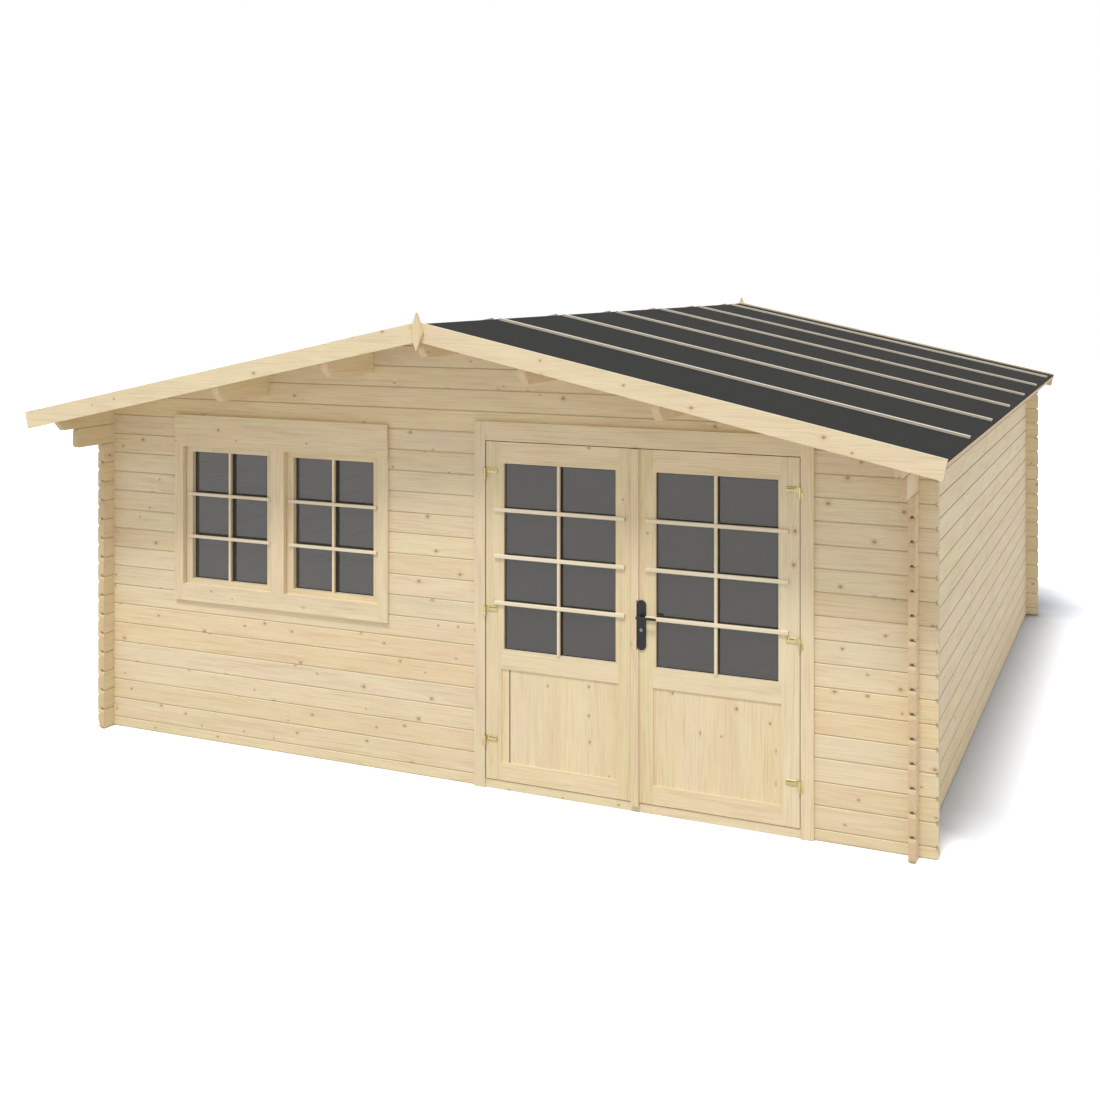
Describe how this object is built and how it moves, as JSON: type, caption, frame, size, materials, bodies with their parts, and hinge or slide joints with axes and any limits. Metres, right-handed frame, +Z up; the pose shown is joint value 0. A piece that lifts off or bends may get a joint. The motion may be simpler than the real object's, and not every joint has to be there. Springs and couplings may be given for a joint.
{
  "type": "log cabin",
  "caption": "Single-room garden log cabin of notched logs with a low felted gable roof, deep front overhang, glazed double door and fixed paired window.",
  "frame": {"origin": "bottom centre of the bounding box, on the ground under the cabin", "axes": "+Z up, +Y towards the back wall, +X to the right seen from the front; the door and window face -Y"},
  "size_m": [5.21, 5.838, 2.5314],
  "materials": {
    "log_wood": "planed pine, untreated, matt",
    "roof_wood": "planed pine, untreated, matt",
    "trim_wood": "planed pine, untreated, matt",
    "joinery_wood": "planed pine, untreated, matt",
    "floor_wood": "planed pine, untreated, matt",
    "felt": "mineral-surfaced roofing felt, matt",
    "glass": "clear float glass",
    "brass": "brass plated, satin",
    "lock": "nickel on brass",
    "dark_metal": "dark grey powder coat"
  },
  "bodies": {
    "cabin": {"front_wall_even_logs": "log_wood", "front_wall_odd_logs": "log_wood", "back_wall_even_logs": "log_wood", "back_wall_odd_logs": "log_wood", "left_wall_even_logs": "log_wood", "left_wall_odd_logs": "log_wood", "right_wall_even_logs": "log_wood", "right_wall_odd_logs": "log_wood", "wall_plates": "log_wood", "ridge_purlin": "roof_wood", "inner_purlins": "roof_wood", "outer_purlins": "roof_wood", "left_roof_deck": "roof_wood", "right_roof_deck": "roof_wood", "left_roof_felt": "felt", "right_roof_felt": "felt", "left_battens": "roof_wood", "right_battens": "roof_wood", "left_barge_boards": "roof_wood", "right_barge_boards": "roof_wood", "finials": "roof_wood", "door_jambs": "trim_wood", "door_head": "trim_wood", "door_sill": "trim_wood", "door_hinge_pins": "brass", "window_jambs": "trim_wood", "window_head": "trim_wood", "window_bottom": "trim_wood", "window_mullion": "trim_wood", "window_sashes": "joinery_wood", "window_glass": "glass", "floor_bearers": "floor_wood", "floor_deck": "floor_wood"},
    "left_leaf": {"left_leaf_stiles": "joinery_wood", "left_leaf_rails": "joinery_wood", "left_leaf_glass": "glass", "left_leaf_panel": "joinery_wood", "left_leaf_hinges": "brass"},
    "right_leaf": {"right_leaf_stiles": "joinery_wood", "right_leaf_rails": "joinery_wood", "right_leaf_glass": "glass", "right_leaf_panel": "joinery_wood", "right_leaf_hinges": "brass", "cover_strip": "joinery_wood", "handle_plates": "dark_metal", "lock_cylinder": "lock"},
    "lever": {"lever_handle": "dark_metal"}
  },
  "joints": [
    {"name": "left_door", "type": "hinge", "parent": "cabin", "child": "left_leaf", "pos_m": [0.15, -2.444, 0.941], "axis": [0, 0, -1], "range_deg": [0, 160]},
    {"name": "right_door", "type": "hinge", "parent": "cabin", "child": "right_leaf", "pos_m": [1.846, -2.444, 0.941], "axis": [0, 0, 1], "range_deg": [0, 130]},
    {"name": "handle_turn", "type": "hinge", "parent": "right_leaf", "child": "lever", "pos_m": [1.03275, -2.412, 0.994], "axis": [0, 1, 0], "range_deg": [0, 40], "stiffness_Nm_per_rad": 1, "springref_deg": -28.65}
  ]
}
